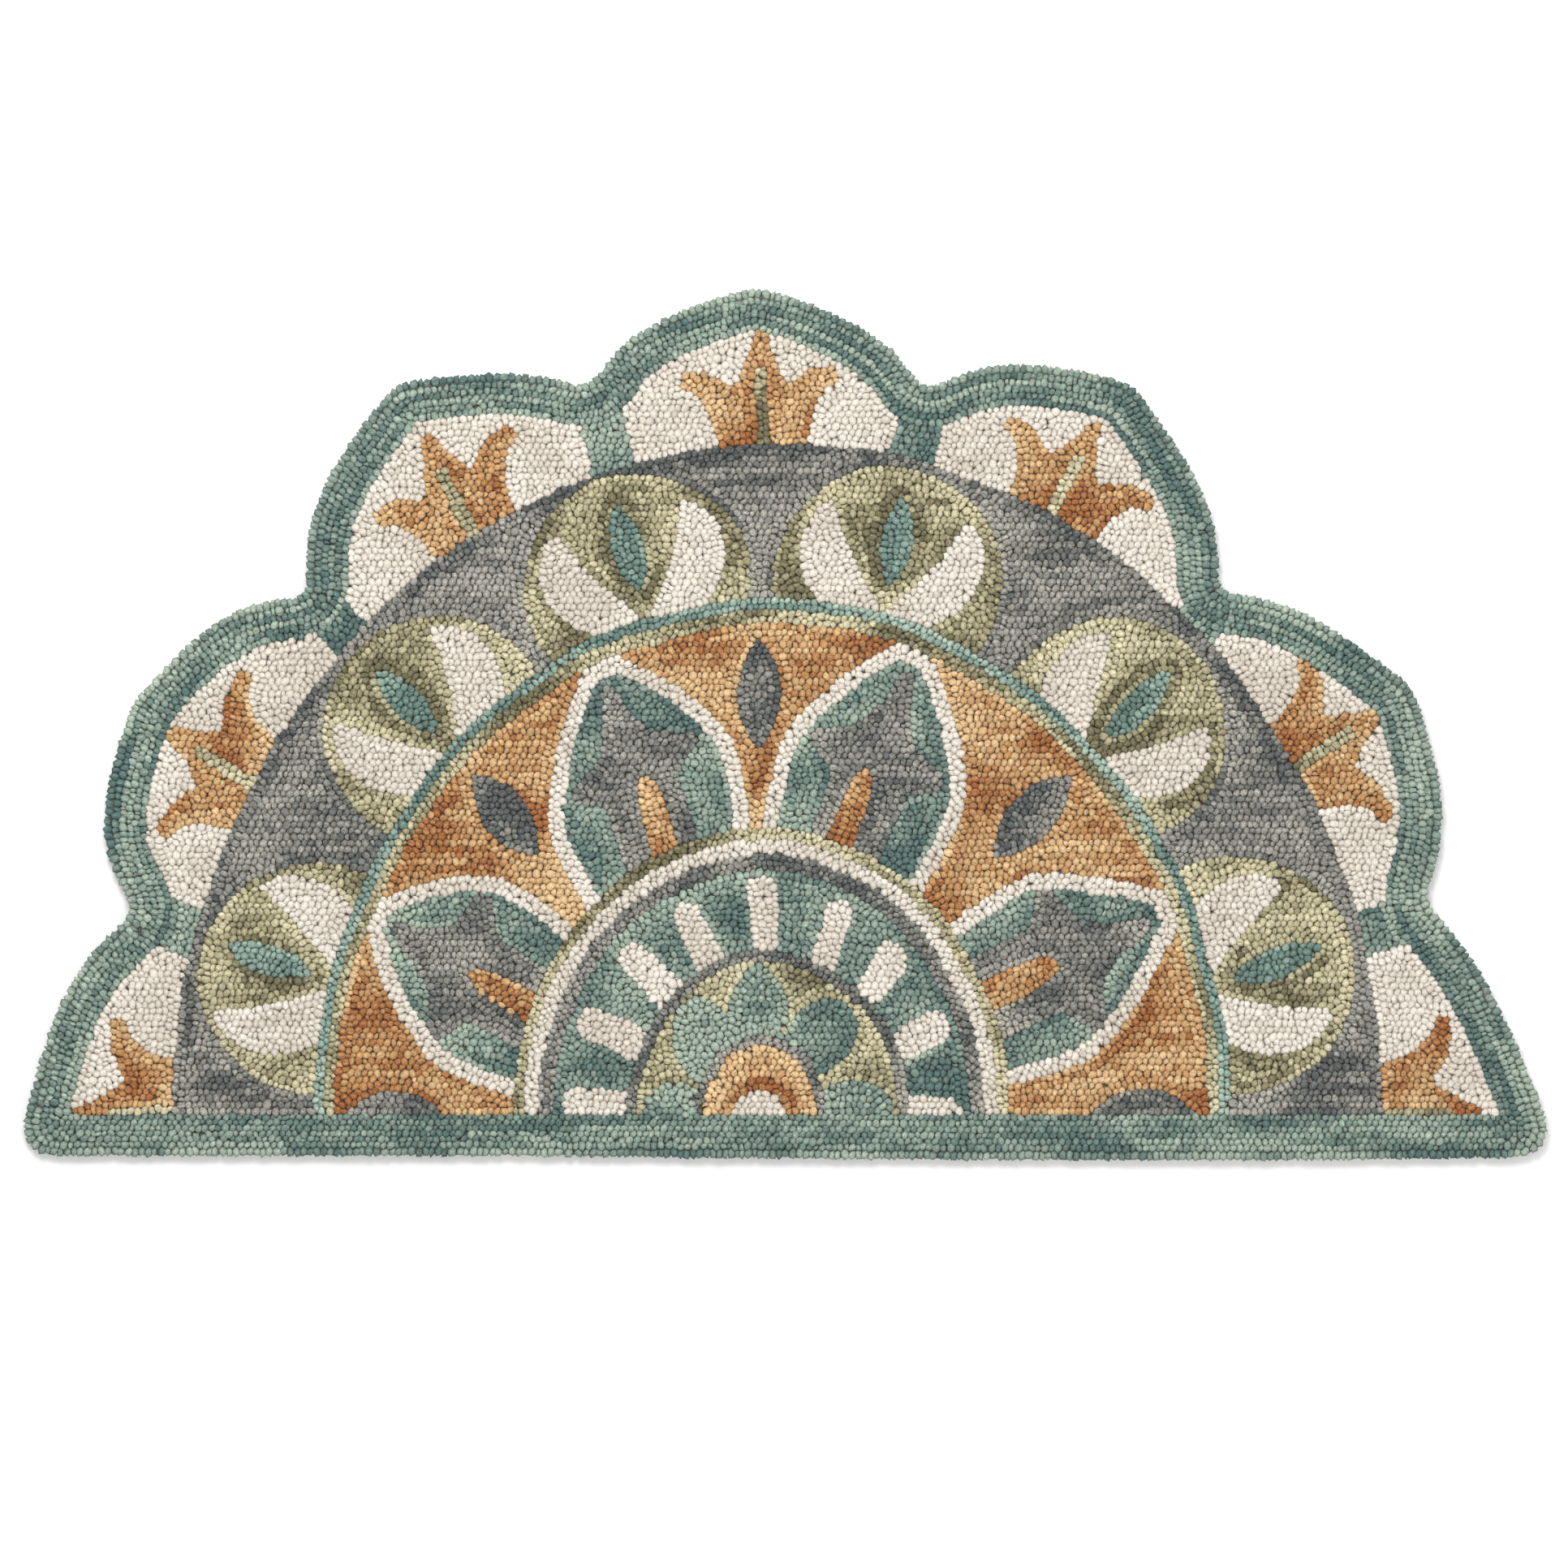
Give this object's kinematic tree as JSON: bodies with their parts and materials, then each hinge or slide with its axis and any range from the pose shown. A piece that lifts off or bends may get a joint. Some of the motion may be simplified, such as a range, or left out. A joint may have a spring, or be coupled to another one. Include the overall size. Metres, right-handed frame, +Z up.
{
  "type": "hooked rug",
  "caption": "Half-round hooked wool rug with a scalloped edge and a half-mandala of petals, tulips and roundels, lying flat on a floor.",
  "frame": {"origin": "under the middle of the outline's bounding box, on the surface the rug lies on", "axes": "+X along the straight edge, +Y from the straight edge to the top scallop, +Z up out of the pile"},
  "size_m": [1.0164, 0.5888, 0.01],
  "materials": {
    "ground_cloth": "plain-woven cotton ground with the yarn's short stitches on its underside",
    "yarn_teal": "matt wool loops, streaked teal",
    "yarn_aqua": "matt wool loops, aqua",
    "yarn_cream": "matt wool loops, undyed cream",
    "yarn_olive": "matt wool loops, streaked olive",
    "yarn_gray": "matt wool loops, streaked gray",
    "yarn_ochre": "matt wool loops, ochre streaked with rust"
  },
  "bodies": {
    "root": {"rug": "ground_cloth"}
  },
  "joints": []
}
